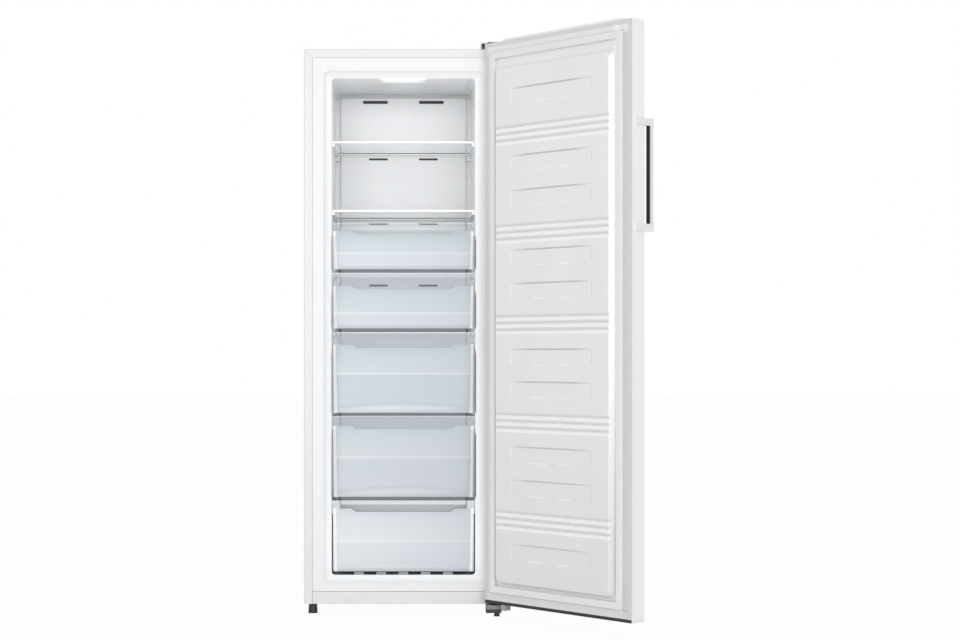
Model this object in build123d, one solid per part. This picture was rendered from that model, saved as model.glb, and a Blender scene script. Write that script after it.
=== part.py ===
"""Upright freezer, 60 cm wide, with its door hung on the right and shown wide open.

Millimetres. The origin is on the floor under the middle of the cabinet, +Z is up and the open
front faces -Y. Depths are counted from the cabinet's front plane towards the rear.
"""

from build123d import *
import os

os.makedirs("parts", exist_ok=True)

# ---- cabinet ----
WIDTH, DEPTH = 595.0, 585.0
BASE_Z, TOP_Z = 31.0, 1690.0
HALF = WIDTH / 2
FRONT = -DEPTH / 2
SHEET = 1.0  # wrapper steel
FLANGE = 25.5  # visible front flange of the wrapper
SEAM = 0.8  # gap between the wrapper's flange, the liner's and the kick strip
KICK_TOP = 68.0
EDGE_R = 3.0

# ---- cavity ----
LINER = 2.5
MOUTH_HALF, MOUTH_Z = 239.0, (94.0, 1624.5)
CAVITY_HALF, CAVITY_Z = 215.7, (114.0, 1606.0)
THROAT_DEPTH, CAVITY_DEPTH = 30.0, 403.0
MOUTH_R, CAVITY_R = 15.0, 10.0
STEP_DEPTH, STEP_TOP, STEP_R = 250.0, 330.0, 15.0
PLENUM_HALF, PLENUM_Z, PLENUM_DEPTH = 190.0, (352.0, 1590.0), 488.0
LEDGE_OUT, LEDGE_H = 7.0, 8.0
LAMP_HALF, LAMP_DEPTHS, LAMP_TOP = 75.0, (36.0, 102.0), 1622.0

# ---- machine compartment ----
ROOM_DEPTH, ROOM_TOP = 315.0, 265.0
COMPRESSOR = (95.0, 452.0)  # x and depth of its axis
COMPRESSOR_Z, COMPRESSOR_R, COMPRESSOR_H, TRAY_H = 134.0, 74.0, 150.0, 31.0
INLET = (-250.0, 58.0)  # x and z of the empty supply grommet

# ---- evaporator cover ----
COVER_HALF, COVER_Z, COVER_DEPTH = 198.0, (345.0, 1591.7), 385.0
SLOT_ROWS = [  # middle height, height, inner and outer x
    (1580.0, 10.0, 49.5, 129.0),
    (1398.3, 6.5, 49.5, 109.5),
    (1192.3, 6.5, 49.5, 109.5),
    (996.3, 6.5, 49.5, 109.5),
]
FAN_Z, FAN_R, FAN_DEPTH, FAN_BLADES = 1050.0, 50.0, 418.0, 5
COIL_Z, COIL_DEPTHS, COIL_HALF = (440.0, 900.0), (418.0, 474.0), 160.0
COIL_FINS, COIL_RUNS = 9, 3

# ---- shelves ----
SHELF_TOPS = [1418.0, 1212.0]
SHELF_DEPTHS = (35.0, 383.0)
GLASS_T, TRIM_H = 4.0, 6.0
REAR_TRIM_UP, REAR_TRIM_DOWN = 3.0, 8.0  # above and below a shelf's top
BOSS_IN, BOSS_UP, BOSS_DOWN = 201.0, 19.0, 25.0

# ---- drawers, from the top: bottom, top, grip lip, relief step ----
DRAWERS = [
    (1033.0, 1173.0, 1148.0, 1079.0),
    (855.0, 1022.0, 982.0, 899.0),
    (601.0, 843.0, 806.0, 717.0),
    (347.5, 591.0, 561.0, 465.0),
    (124.0, 337.0, 313.0, 212.0),
]
DRAWER_FACE = 38.0  # depth of the drawers' faces
BIN_REAR, LOW_BIN_REAR = 378.0, 242.0
FACE_HALF, EAR_HALF, EAR_IN, EAR_H = 212.0, 214.6, 188.0, 40.0
LIP_DIP, DIP_HALF, DIP_RAMP = 10.0, 142.0, 15.0
FACE_BEVEL = (12.0, 9.0)  # width of the slope at the sides and at the foot
CLEAR = 0.4

# ---- door, drawn closed and then swung open ----
DOOR_Z = (41.0, 1698.0)
DOOR_T, DOOR_GAP = 52.0, 12.0
SKIN_Z = (50.0, 1686.0)
DOOR_R = 5.0
RETURN_W = 13.5
TOP_RIB_H, TOP_RIB_HALF = 10.0, 241.0
PIN_X, PIN_OUT = 277.5, 41.0
PIN_R, BUSH_CLEAR = 4.0, 0.05
OPEN_ANGLE = 130.0
PANEL_OUT = 22.0
PANEL_BASE_HALF, PANEL_BASE_Z, PANEL_DRAFT = 238.0, (102.0, 1621.0), 10.0
GROOVE_GROUPS = [1416.5, 1129.5, 865.0, 580.0, 295.0]
GROOVE_PITCH, GROOVE_W, GROOVE_FLOOR, GROOVE_D = 19.7, 9.0, 4.0, 3.0
PAD_TOPS = [1550.0, 1354.0, 1253.0, 1080.0, 982.5, 792.0, 697.5, 509.0, 412.0, 225.0]
PAD_W, PAD_H, PAD_D = 332.0, 45.0, 1.6
GASKET_HALF, GASKET_Z, GASKET_W = 266.5, (75.0, 1667.0), 20.0

# ---- handle on the free edge ----
HANDLE_Z = (1116.0, 1427.5)
BRACKET_H, BRACKET_PROUD, BRACKET_IN = 20.5, 5.0, 16.0
BAR_W, BAR_NEAR, BAR_FAR, GRIP_T = 12.0, 64.0, 82.0, 3.5

# ---- feet and rollers ----
LEFT_FOOT = (-272.0, 36.0)
FOOT_R, RIGHT_FOOT_R, STUD_R = 14.2, 9.0, 4.0
ROLLER_R, ROLLER_W, ROLLER_X, ROLLER_DEPTH = 13.5, 20.0, 255.0, 540.0

INNER_Y = FRONT - DOOR_GAP
PIN_Y = FRONT - PIN_OUT
LOW = (Align.CENTER, Align.CENTER, Align.MIN)


def block(x, y, z):
    """A box between three pairs of limits."""
    middle = Pos((x[0] + x[1]) / 2, (y[0] + y[1]) / 2, (z[0] + z[1]) / 2)
    return middle * Box(x[1] - x[0], y[1] - y[0], z[1] - z[0])


def deep(d0, d1):
    """The pair of y values of two depths."""
    return (FRONT + d0, FRONT + d1)


def upright(y):
    """The plane that faces the front at y, with x across and z up."""
    return Plane((0, y, 0), x_dir=(1, 0, 0), z_dir=(0, -1, 0))


def prism(sketch, y):
    """A front view, drawn as x and z, carried between two y values."""
    return extrude(upright(y[1]) * sketch, y[1] - y[0], dir=(0, -1, 0))


def window(half, z, radius):
    """A rounded rectangle, seen from the front."""
    return Pos(0, (z[0] + z[1]) / 2) * RectangleRounded(2 * half, z[1] - z[0], radius)


def cut_corners(width, depth, cut):
    """A rectangle with its corners cut off."""
    return chamfer(Rectangle(width, depth).vertices(), cut)


def side_profile(points, x, thick, radius):
    """A bent strip, drawn as y and z through the middle of its thickness, carried along x."""
    plane = Plane((x[0], 0, 0), x_dir=(0, 1, 0), z_dir=(1, 0, 0))
    strip = trace(FilletPolyline(*points, radius=radius), thick)
    return extrude(plane * strip, x[1] - x[0], dir=(1, 0, 0))


def tube(points, radius, cut):
    """A round tube along straight runs, with a short slanting run across each corner."""
    route = [Vector(*p) for p in points]
    stops = [route[0]]
    for before, corner, after in zip(route, route[1:], route[2:]):
        stops.append(corner + (before - corner).normalized() * cut)
        stops.append(corner + (after - corner).normalized() * cut)
    path = Polyline(*stops, route[-1])
    return sweep((path ^ 0) * Circle(radius), path=path, transition=Transition.RIGHT)


def post(x, y, z, radius):
    """An upright round rod."""
    return Pos(x, y, (z[0] + z[1]) / 2) * Cylinder(radius, z[1] - z[0])


def swung(shape):
    """Turns a piece of the closed door about the hinge pins to its open place."""
    return shape.rotate(Axis((PIN_X, PIN_Y, 0), (0, 0, 1)), OPEN_ANGLE)


def grown(pair, amount):
    return (pair[0] - amount, pair[1] + amount)


# ---------------------------------------------------------------- cabinet


def cavity(wall):
    """The space inside the liner, or with a wall thickness the liner's outside."""
    mouth = window(MOUTH_HALF + wall, grown(MOUTH_Z, wall), MOUTH_R + wall)
    room = window(CAVITY_HALF + wall, grown(CAVITY_Z, wall), CAVITY_R + wall)
    throat = loft([upright(FRONT) * mouth, upright(FRONT + THROAT_DEPTH) * room], ruled=True)
    hollow = throat + prism(room, deep(THROAT_DEPTH, CAVITY_DEPTH + wall))
    step = block(
        (-HALF, HALF),
        deep(STEP_DEPTH + wall, DEPTH),
        (0, STEP_TOP - wall),
    )
    nose = step.edges().filter_by(Axis.X).group_by(Axis.Z)[-1].sort_by(Axis.Y)[0]
    hollow -= fillet(nose, STEP_R - wall)
    plenum = window(PLENUM_HALF + wall, grown(PLENUM_Z, wall), CAVITY_R)
    hollow += prism(plenum, deep(CAVITY_DEPTH - 1, PLENUM_DEPTH + wall))
    lamp = block(
        (-LAMP_HALF - wall, LAMP_HALF + wall),
        deep(LAMP_DEPTHS[0] - wall, LAMP_DEPTHS[1] + wall),
        (CAVITY_Z[1] - 1, LAMP_TOP + wall),
    )
    return hollow + lamp


def ledge(side, z_top, depths, out=LEDGE_OUT):
    """A moulded rib on one side wall that a drawer or a shelf slides on."""
    x = sorted((side * (CAVITY_HALF - out), side * (CAVITY_HALF + 1)))
    return block(x, deep(*depths), (z_top - LEDGE_H, z_top))


def make_liner():
    face = Rectangle(2 * (HALF - FLANGE - SEAM), TOP_Z - FLANGE - KICK_TOP - 2 * SEAM)
    flange = prism(Pos(0, (TOP_Z - FLANGE + KICK_TOP) / 2) * face, deep(0, LINER))
    mouth = window(MOUTH_HALF, MOUTH_Z, MOUTH_R)
    liner = cavity(LINER) + flange - cavity(0) - prism(mouth, deep(-1, 0))
    for side in (-1, 1):
        for top in SHELF_TOPS:
            seat = top - (TRIM_H - GLASS_T) / 2 - GLASS_T - CLEAR
            liner += ledge(side, seat, (50, 380), out=9)
            x = sorted((side * BOSS_IN, side * (CAVITY_HALF + 1)))
            boss = block(x, deep(SHELF_DEPTHS[1] + 1, CAVITY_DEPTH), (top - BOSS_DOWN, top + BOSS_UP))
            inner = boss.edges().filter_by(Axis.Y).sort_by(lambda edge: abs(edge.center().X))[0:2]
            liner += chamfer(inner, 4.0)
        for n, (_, top, _, _) in enumerate(DRAWERS):
            rear = LOW_BIN_REAR if n == len(DRAWERS) - 1 else BIN_REAR
            liner += ledge(side, top - 3 - CLEAR, (46, rear))
    for n in range(-2, 3):
        liner += block((67 * n - 14.5, 67 * n + 14.5), deep(45, 235), (CAVITY_Z[0] - 1, 121.5))
    return liner


def make_wrapper():
    """A bent steel sheet: two sides, the top and a narrow flange round the front."""
    outside = block((-HALF, HALF), deep(0, DEPTH), (BASE_Z, TOP_Z))
    rounded = outside.edges().filter_by(Axis.Z).group_by(Axis.Y)[0]
    rounded += outside.edges().group_by(Axis.Z)[-1].filter_by(Axis.X).sort_by(Axis.Y)[0:1]
    rounded += outside.edges().group_by(Axis.Z)[-1].filter_by(Axis.Y)
    outside = fillet(rounded, EDGE_R)
    inside = block((-HALF + SHEET, HALF - SHEET), deep(SHEET, DEPTH + 1), (0, TOP_Z - SHEET))
    rounded = inside.edges().filter_by(Axis.Z).group_by(Axis.Y)[0]
    inside = fillet(rounded, EDGE_R - SHEET)
    opening = block(
        (-HALF + FLANGE, HALF - FLANGE),
        deep(-1, SHEET + 1),
        (0, TOP_Z - FLANGE),
    )
    wrapper = outside - inside - opening
    for side in (-1, 1):
        # the mitre line, where the side flange meets the top flange
        corner = Pos(side * (HALF - FLANGE / 2 + 1), FRONT, TOP_Z - FLANGE / 2 + 1)
        wrapper -= corner * Rot(0, side * -45, 0) * Box(FLANGE * 1.414 - 8, 3, 0.7)
    return wrapper


def make_foam():
    """The poured insulation between the wrapper and the liner."""
    half = HALF - SHEET - 0.1
    body = block((-half, half), deep(LINER, DEPTH - 1), (BASE_Z + 2, TOP_Z - SHEET))
    body = fillet(body.edges().group_by(Axis.Z)[-1].filter_by(Axis.Y), EDGE_R - SHEET)
    machine_room = block((-HALF, HALF), deep(ROOM_DEPTH, DEPTH + 1), (0, ROOM_TOP))
    body -= machine_room
    body -= cavity(LINER)
    body -= block((-HALF + FLANGE, HALF - FLANGE), deep(0, 15), (0, KICK_TOP + 0.6))
    x, depth = LEFT_FOOT
    body -= post(x, FRONT + depth, (BASE_Z, 80.0), 9.0)
    return body


def make_kick_strip():
    half = HALF - FLANGE - SEAM
    points = [
        (FRONT + 14.0, KICK_TOP - 0.8),
        (FRONT + 0.6, KICK_TOP - 0.8),
        (FRONT + 0.6, BASE_Z + 0.6),
        (FRONT + 14.0, BASE_Z + 0.6),
    ]
    strip = side_profile(points, (-half, half), 1.2, 1.5)
    return strip


def make_rear_panel():
    """The rear sheet, stiffened by a shallow pressed frame."""
    half = HALF - SHEET - 0.2
    panel = block((-half, half), deep(DEPTH - 1, DEPTH), (ROOM_TOP + 1, TOP_Z - SHEET - 0.2))
    for n in range(3):
        z = 560 + 360 * n
        panel += block((-180, 180), deep(DEPTH - 1, DEPTH + 2.0), (z, z + 12))
    return panel


def make_base_pan():
    half = HALF - SHEET - 0.2
    pan = block((-half, half), deep(16, DEPTH - 2), (BASE_Z, BASE_Z + 1.6))
    for side in (-1, 1):
        x = sorted((side * half, side * (half - 1.6)))
        pan += block(x, deep(ROOM_DEPTH + 1, DEPTH - 2), (BASE_Z, BASE_Z + 28))
    x, depth = LEFT_FOOT
    pan += post(x, FRONT + depth, (BASE_Z, BASE_Z + 14), 8.0)
    pan -= post(x, FRONT + depth, (0, 80), STUD_R + 0.08)
    return pan


def make_room_cover():
    """The rear cover of the machine compartment, with rows of louvres."""
    half = HALF - SHEET - 0.4
    cover = block((-half, half), deep(DEPTH - 2, DEPTH - 1), (BASE_Z + 2, ROOM_TOP - 0.5))
    louvres = GridLocations(170, 32, 3, 5) * Rectangle(120, 8)
    cover -= prism(Pos(0, 150) * Sketch(children=louvres), deep(DEPTH - 5, DEPTH + 2))
    cover -= Pos(INLET[0], 0, INLET[1]) * Rot(90, 0, 0) * Cylinder(10.1, 2000)
    return cover


def make_mains_inlet():
    """The grommet through which the supply enters, empty."""
    at = Pos(INLET[0], FRONT + DEPTH - 1.5, INLET[1]) * Rot(90, 0, 0)
    edge = [(4.2, -6.5), (14, -6.5), (14, -0.6), (10, -0.6), (10, 6.5), (4.2, 6.5)]
    return at * revolve(Plane.XZ * Polygon(*edge, align=None), Axis.Z)


def make_evaporator_cover():
    """A shallow tray over the cooling coil, with two air slots in each of four rows."""
    face = window(COVER_HALF, COVER_Z, 10.0)
    inner = window(COVER_HALF - 3, grown(COVER_Z, -3), 7.0)
    tray = prism(face, deep(COVER_DEPTH, CAVITY_DEPTH)) - prism(
        inner, deep(COVER_DEPTH + 3, CAVITY_DEPTH + 1)
    )
    slots = Sketch()
    for z, height, near, far in SLOT_ROWS:
        for side in (-1, 1):
            hole = Rectangle(far - near, height)
            hole = chamfer(hole.vertices(), height * 0.25)
            slots += Pos(side * (near + far) / 2, z) * hole
    return tray - prism(slots, deep(COVER_DEPTH - 1, COVER_DEPTH + 5))


def make_air_duct():
    """The foam block behind the cover, which leads air from the fan up to the slots."""
    duct = block((-175, 175), deep(COVER_DEPTH + 3, 412), (960, 1588))
    duct -= block((-132, 132), deep(COVER_DEPTH + 2, 400), (985, 1586))
    duct += block((-20, 20), deep(COVER_DEPTH + 3, 401), (1130, 1586))
    fan_hole = Pos(0, FRONT + 406, FAN_Z) * Rot(90, 0, 0) * Cylinder(FAN_R + 3, 30)
    return duct - fan_hole


def make_fan_impeller():
    """Flat pitched blades round a hub, turning about an axis from front to rear."""
    fan = Cylinder(15, 20) - Pos(0, 0, -8) * Cylinder(2.06, 20)
    outline = Polygon((12, -9), (FAN_R - 6, -19), (FAN_R, -12), (FAN_R, 14), (12, 9), align=None)
    blade = Rot(30, 0, 0) * Pos(0, 0, -1) * extrude(outline, 2)
    for n in range(FAN_BLADES):
        fan += Rot(0, 0, 360 / FAN_BLADES * n) * blade
    return Pos(0, FRONT + FAN_DEPTH, FAN_Z) * Rot(90, 0, 0) * fan


def make_fan_motor():
    """The motor behind the impeller, its shaft, and the cross that holds it to the duct."""
    motor = Pos(0, 0, -27) * Cylinder(21, 22)
    motor += Pos(0, 0, -12) * Cylinder(2.0, 24)
    cross = Pos(0, 0, -37) * Box(44, 44, 3)
    for n in range(4):
        cross += Rot(0, 0, 45 + 90 * n) * Pos(47, 0, -37) * Box(54, 12, 3)
        cross += Rot(0, 0, 45 + 90 * n) * Pos(70, 0, -15) * Box(8, 12, 41.8)
    return Pos(0, FRONT + FAN_DEPTH, FAN_Z) * Rot(90, 0, 0) * (motor + cross)


def make_evaporator():
    """A finned coil: one block with fin edges standing proud of it, and the ends of its tubes."""
    near, far = COIL_DEPTHS
    body = block((-COIL_HALF, COIL_HALF), deep(near + 5, far), COIL_Z)
    for n in range(COIL_FINS):
        x = 2 * COIL_HALF * (n / (COIL_FINS - 1) - 0.5)
        body += block((x - 0.7, x + 0.7), deep(near, near + 6), COIL_Z)
    pitch = (COIL_Z[1] - COIL_Z[0]) / COIL_RUNS
    for n in range(COIL_RUNS):
        run = Pos(0, FRONT + (near + far) / 2, COIL_Z[0] + pitch * (n + 0.5))
        body += run * Rot(0, 90, 0) * Cylinder(4.5, 2 * COIL_HALF + 24)
    return body


def make_defrost_heater():
    """A straight heating rod below the coil, hung from it by two legs."""
    y = FRONT + 446
    rod = Pos(0, y, 420) * Rot(0, 90, 0) * Cylinder(3.5, 300)
    for side in (-1, 1):
        x = side * 140.0
        rod += block((x - 1.5, x + 1.5), (y - 6, y + 6), (420, COIL_Z[0]))
    return rod


def make_lamp_cover():
    """A slightly domed clear cover that closes the lamp pocket in the ceiling."""
    x = (-LAMP_HALF + 0.4, LAMP_HALF - 0.4)
    y = deep(LAMP_DEPTHS[0] + 0.4, LAMP_DEPTHS[1] - 0.4)
    plate = block(x, y, (CAVITY_Z[1] - 2.5, CAVITY_Z[1] + 9))
    rim = plate.edges().group_by(Axis.Z)[0]
    plate = chamfer(rim, 2.0)
    return plate - block(grown(x, -2), grown(y, -2), (CAVITY_Z[1], CAVITY_Z[1] + 10))


def make_lamp_board():
    x = (-LAMP_HALF + 4, LAMP_HALF - 4)
    board = block(x, deep(LAMP_DEPTHS[0] + 6, LAMP_DEPTHS[1] - 6), (LAMP_TOP - 1.6, LAMP_TOP))
    for x in (-54, -18, 18, 54):
        board += block((x - 3, x + 3), deep(66, 72), (LAMP_TOP - 3.2, LAMP_TOP - 1.6))
    return board


def make_compressor():
    """A welded steel shell, domed above and below, with its seam, on a foot plate."""
    x, depth = COMPRESSOR
    r, half = COMPRESSOR_R, COMPRESSOR_H / 2
    upper = [(r, 12), (r, half - 28), (r * 0.7, half), (0, half)]
    lower = [(0, -half), (r * 0.7, -half), (r, 28 - half), (r, 4)]
    seam = [(r + 3, 4), (r + 3, 12)]
    shell = revolve(Plane.XZ * Polygon(*lower, *seam, *upper, align=None), Axis.Z)
    foot = Pos(0, 0, -half - 2) * Box(190, 120, 4)
    foot = chamfer(foot.edges().filter_by(Axis.Z), 10)
    return Pos(x, FRONT + depth, COMPRESSOR_Z) * (shell + foot)


def make_compressor_mounts():
    """Four rubber grommets under the foot plate."""
    x, depth = COMPRESSOR
    top = COMPRESSOR_Z - COMPRESSOR_H / 2 - 4
    mount = Pos(0, 0, BASE_Z + 1.6) * extrude(RegularPolygon(12, 8), top - BASE_Z - 1.6)
    mounts = []
    for side_x in (-1, 1):
        for side_y in (-1, 1):
            mounts.append(Pos(x + side_x * 80, FRONT + depth + side_y * 44, 0) * mount)
    return Compound(children=mounts)


def make_start_relay():
    x, depth = COMPRESSOR
    box = block((x + 70, x + 104), deep(depth - 26, depth + 26), (106, 152))
    box = chamfer(box.edges().filter_by(Axis.X), 4)
    return box - Pos(x, FRONT + depth, COMPRESSOR_Z) * Cylinder(COMPRESSOR_R + 3, 200)


def make_drip_tray():
    """The evaporating tray on top of the compressor."""
    x, depth = COMPRESSOR
    at = Pos(x, FRONT + depth)
    low = at * Pos(0, 0, COMPRESSOR_Z + COMPRESSOR_H / 2)
    high = Pos(0, 0, TRAY_H) * low
    outside = loft([low * cut_corners(150, 116, 14), high * cut_corners(166, 132, 18)], ruled=True)
    floor = Pos(0, 0, 2) * low
    inside = loft([floor * cut_corners(146, 112, 13), high * cut_corners(162, 128, 17)], ruled=True)
    return outside - inside


def make_filter_drier():
    """A copper cartridge with drawn-in ends, lying beside the compressor."""
    edge = [(0, -60), (9, -44), (9, 44), (0, 60)]
    body = revolve(Polygon(*edge, align=None), Axis.Y)
    return Pos(-60, FRONT + ROOM_DEPTH + 60, 150) * body


def make_tubes():
    """The tubes from the compressor to the drier and into the cabinet's foam wall."""
    x, depth = COMPRESSOR
    wall_y = FRONT + ROOM_DEPTH
    axis_y = FRONT + depth
    suction = [
        (x - 50, wall_y, 190),
        (x - 50, wall_y + 34, 190),
        (x - 50, wall_y + 34, 100),
        (x - 50, axis_y - 40, 100),
    ]
    discharge = [(x - 60, axis_y, 120), (-150, axis_y, 120), (-150, wall_y, 120)]
    shell = post(x, axis_y, (0, ROOM_TOP), COMPRESSOR_R)
    return Compound(children=[tube(suction, 3.5, 14) - shell, tube(discharge, 3.0, 12) - shell])


def make_control_box():
    box = block((-262, -172), deep(372, 470), (BASE_Z + 1.6, 118))
    box = chamfer(box.edges().filter_by(Axis.Z), 4)
    lid = block((-265, -169), deep(369, 473), (118, 122))
    return box + chamfer(lid.edges().filter_by(Axis.Z), 5)


# ---------------------------------------------------------------- hinges, feet, rollers


def make_top_hinge():
    """A joggled steel plate on the cabinet top, with the upper pin."""
    points = [
        (FRONT + 58, TOP_Z + 1.5),
        (FRONT + 2, TOP_Z + 1.5),
        (FRONT - 8, TOP_Z + 11.5),
        (PIN_Y - 13, TOP_Z + 11.5),
    ]
    plate = side_profile(points, (250, 292), 3.0, 4)
    return plate + post(PIN_X, PIN_Y, (TOP_Z - 10, TOP_Z + 11), PIN_R)


def make_top_hinge_cover():
    """A plastic hood over the rear of the top hinge."""
    outside = block((231, HALF - 1), deep(-1.5, 66), (TOP_Z, TOP_Z + 19))
    outside = chamfer(outside.edges().filter_by(Axis.Z), 3)
    outside = chamfer(outside.edges().group_by(Axis.Z)[-1], 2)
    inside = block((233.5, HALF - 3.5), deep(-3, 63.5), (TOP_Z - 1, TOP_Z + 16.5))
    return outside - inside


def make_bottom_hinge():
    """A steel bracket under the cabinet with the lower pin, carrying the right front foot."""
    points = [
        (FRONT + 70, BASE_Z - 1.5),
        (FRONT - 3, BASE_Z - 1.5),
        (FRONT - 10, BASE_Z + 4.5),
        (PIN_Y - 14.5, BASE_Z + 4.5),
        (PIN_Y - 14.5, BASE_Z - 9),
    ]
    plate = side_profile(points, (247, 290), 3.0, 3)
    plate += post(PIN_X, PIN_Y, (BASE_Z + 4, BASE_Z + 25), PIN_R)
    return plate - post(PIN_X, PIN_Y, (BASE_Z - 5, BASE_Z + 3.1), STUD_R + 0.5)


def make_foot_block():
    """The black block under the bottom hinge, in which the right foot is screwed."""
    y = (PIN_Y - 16, PIN_Y + 26)
    body = block((245, 290.5), y, (11, BASE_Z - 9))
    body = chamfer(body.edges().filter_by(Axis.Z), 2)
    body += block((249.5, 287.5), (PIN_Y - 12, PIN_Y + 25), (BASE_Z - 10, BASE_Z + 3))
    body += block((245, 246.8), y, (BASE_Z - 10, BASE_Z + 6))
    return body - post(PIN_X, PIN_Y, (0, 40), STUD_R + 0.08)


def make_hinge_screws():
    """Hexagon screws: two in the top hinge and two under the bottom hinge."""
    screws = []
    head = extrude(RegularPolygon(6, 6), 4)
    for depth in (28, 48):
        screws.append(Pos(271, FRONT + depth, TOP_Z + 3) * head)
        screws.append(Pos(262, FRONT + depth, BASE_Z - 3) * Rot(180, 0, 0) * head)
    return Compound(children=screws)


def foot(radius, stud_top, pad_top):
    """A tapered pad and its screwed stud."""
    pad = Cone(radius, radius * 0.88, pad_top, align=LOW)
    return pad + post(0, 0, (pad_top, stud_top), STUD_R)


def make_left_foot():
    x, depth = LEFT_FOOT
    return Pos(x, FRONT + depth, 0) * foot(FOOT_R, 62, 27.5)


def make_right_foot():
    return Pos(PIN_X, PIN_Y, 0) * foot(RIGHT_FOOT_R, BASE_Z + 2, 8.5)


def make_roller_brackets():
    """Two forks under the rear of the base, each with its fixed axle."""
    forks = []
    for side in (-1, 1):
        x = side * ROLLER_X
        y = FRONT + ROLLER_DEPTH
        top = block((x - 15, x + 15), (y - 18, y + 18), (BASE_Z - 2, BASE_Z))
        for out in (-1, 1):
            ear_x = sorted((x + out * 13, x + out * 15))
            ear = block(ear_x, (y - 9, y + 9), (8, BASE_Z))
            top += chamfer(ear.edges().filter_by(Axis.X).group_by(Axis.Z)[0], 3)
        top += Pos(x, y, ROLLER_R) * Rot(0, 90, 0) * Cylinder(3.0, 30)
        forks.append(top)
    return Compound(children=forks)


def make_roller(side):
    wheel = Cylinder(ROLLER_R, ROLLER_W) - Cylinder(3.06, ROLLER_W + 2)
    return Pos(side * ROLLER_X, FRONT + ROLLER_DEPTH, ROLLER_R) * Rot(0, 90, 0) * wheel


# ---------------------------------------------------------------- shelves and drawers


def make_shelf_glass(top):
    z = top - (TRIM_H - GLASS_T) / 2
    near, far = SHELF_DEPTHS
    plate = block((-213, 213), deep(near + 3, far - 3), (z - GLASS_T, z))
    return chamfer(plate.edges().filter_by(Axis.Z), 3)


def make_shelf_trims(top):
    """The profiles that hold the glass along its front and rear edges."""
    near, far = SHELF_DEPTHS
    glass = (top - (TRIM_H + GLASS_T) / 2, top - (TRIM_H - GLASS_T) / 2)
    front = block((-213.4, 213.4), deep(near, near + 13), (top - TRIM_H, top))
    front = fillet(front.edges().filter_by(Axis.X).group_by(Axis.Y)[0], 2.0)
    rear = block((-204, 204), deep(far - 14, far), (top - REAR_TRIM_DOWN, top + REAR_TRIM_UP))
    rear = fillet(rear.edges().filter_by(Axis.X).group_by(Axis.Z)[-1], 1.5)
    slot = block((-213.6, 213.6), deep(near + 3, far - 3), glass)
    return Compound(children=[front - slot, rear - slot])


def lip_points(lip, below=0.0):
    """The grip's edge from left to right, with its shallow dip in the middle."""
    outer = DIP_HALF + DIP_RAMP
    z = lip - below
    return [
        (-EAR_IN, z),
        (-outer, z),
        (-DIP_HALF, z - LIP_DIP),
        (DIP_HALF, z - LIP_DIP),
        (outer, z),
        (EAR_IN, z),
    ]


def bevelled_plate(half, z, thick, bevel):
    """A plate whose sides and foot slope back: its rear half-width and heights, its front and
    rear depths from the drawer's face, and the slope's width at the sides and the foot."""
    rear = Pos(0, (z[0] + z[1]) / 2) * Rectangle(2 * half, z[1] - z[0])
    low = z[0] + bevel[1]
    front = Pos(0, (low + z[1]) / 2) * Rectangle(2 * (half - bevel[0]), z[1] - low)
    near, far = FRONT + DRAWER_FACE + thick[0], FRONT + DRAWER_FACE + thick[1]
    return loft([upright(near) * front, upright(far) * rear], ruled=True)


def make_drawer_front(bottom, top, lip, step):
    """The clear front: a bevelled plate with a thicker foot, a grip lip that dips in the middle,
    two ears, and the finger scoop behind the lip."""
    face = deep(DRAWER_FACE, DRAWER_FACE + 3.5)
    front = bevelled_plate(FACE_HALF, (bottom, lip), (0, 2.3), FACE_BEVEL)
    front += block((-FACE_HALF, FACE_HALF), deep(DRAWER_FACE + 2.2, DRAWER_FACE + 3.5), (bottom, lip))
    inner = (FACE_HALF - FACE_BEVEL[0], (bottom + FACE_BEVEL[1], step))
    front += bevelled_plate(*inner, (-1.5, 0.1), (2.0, 2.0))
    outer = DIP_HALF + DIP_RAMP
    dip = [(-outer, lip + 1), (-outer, lip), (-DIP_HALF, lip - LIP_DIP)]
    dip += [(-x, z) for x, z in reversed(dip)]
    front -= prism(Polygon(*dip, align=None), deep(DRAWER_FACE - 1, DRAWER_FACE + 5))
    for side in (-1, 1):
        x = sorted((side * EAR_IN, side * EAR_HALF))
        front += block(x, face, (top - EAR_H, top))
    lip_edge = Polygon(*lip_points(lip), *reversed(lip_points(lip, 4.0)), align=None)
    front += prism(lip_edge, deep(DRAWER_FACE - 5, DRAWER_FACE + 3.5))
    hollow = block((-EAR_IN, EAR_IN), deep(DRAWER_FACE + 3.5, DRAWER_FACE + 19), (lip - 27, top - 2.5))
    opening = block((-EAR_IN, EAR_IN), deep(DRAWER_FACE - 1, DRAWER_FACE + 3.6), (lip - 30, top - 12))
    scoop_y = deep(DRAWER_FACE + 1, DRAWER_FACE + 21)
    scoop = block((-EAR_IN - 2, EAR_IN + 2), scoop_y, (lip - 29, top))
    return front + (scoop - hollow - opening)


def make_drawer_bin(bottom, top, lip, rear, low):
    """The bin behind the front: drafted walls, a rim that slides on the ledges, and a
    bar across the underside."""
    near = DRAWER_FACE + 3.7
    middle = FRONT + (near + rear - 3) / 2
    length = rear - 3 - near

    def layer(half, shorter, cut, z):
        return Pos(0, middle, z) * cut_corners(2 * half, length - shorter, cut)

    outside = loft([layer(198, 6, 9, bottom + 1), layer(206, 0, 10, top)], ruled=True)
    inside = loft([layer(195.5, 11, 8, bottom + 4), layer(203.5, 5, 9, top + 0.1)], ruled=True)
    rim = extrude(layer(206, 0, 10, top - 3), 3)
    slide = block((-213.2, 213.2), deep(near + 4, rear), (top - 3, top))
    bin_ = outside + slide + rim - inside
    bin_ -= block((-EAR_IN - 2.4, EAR_IN + 2.4), deep(near - 2, near + 20), (lip - 31, top + 1))
    if not low:
        bin_ += block((-205, 205), deep(near + 3, near + 6), (bottom - 7, bottom + 2))
    return bin_


# ---------------------------------------------------------------- door


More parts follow.
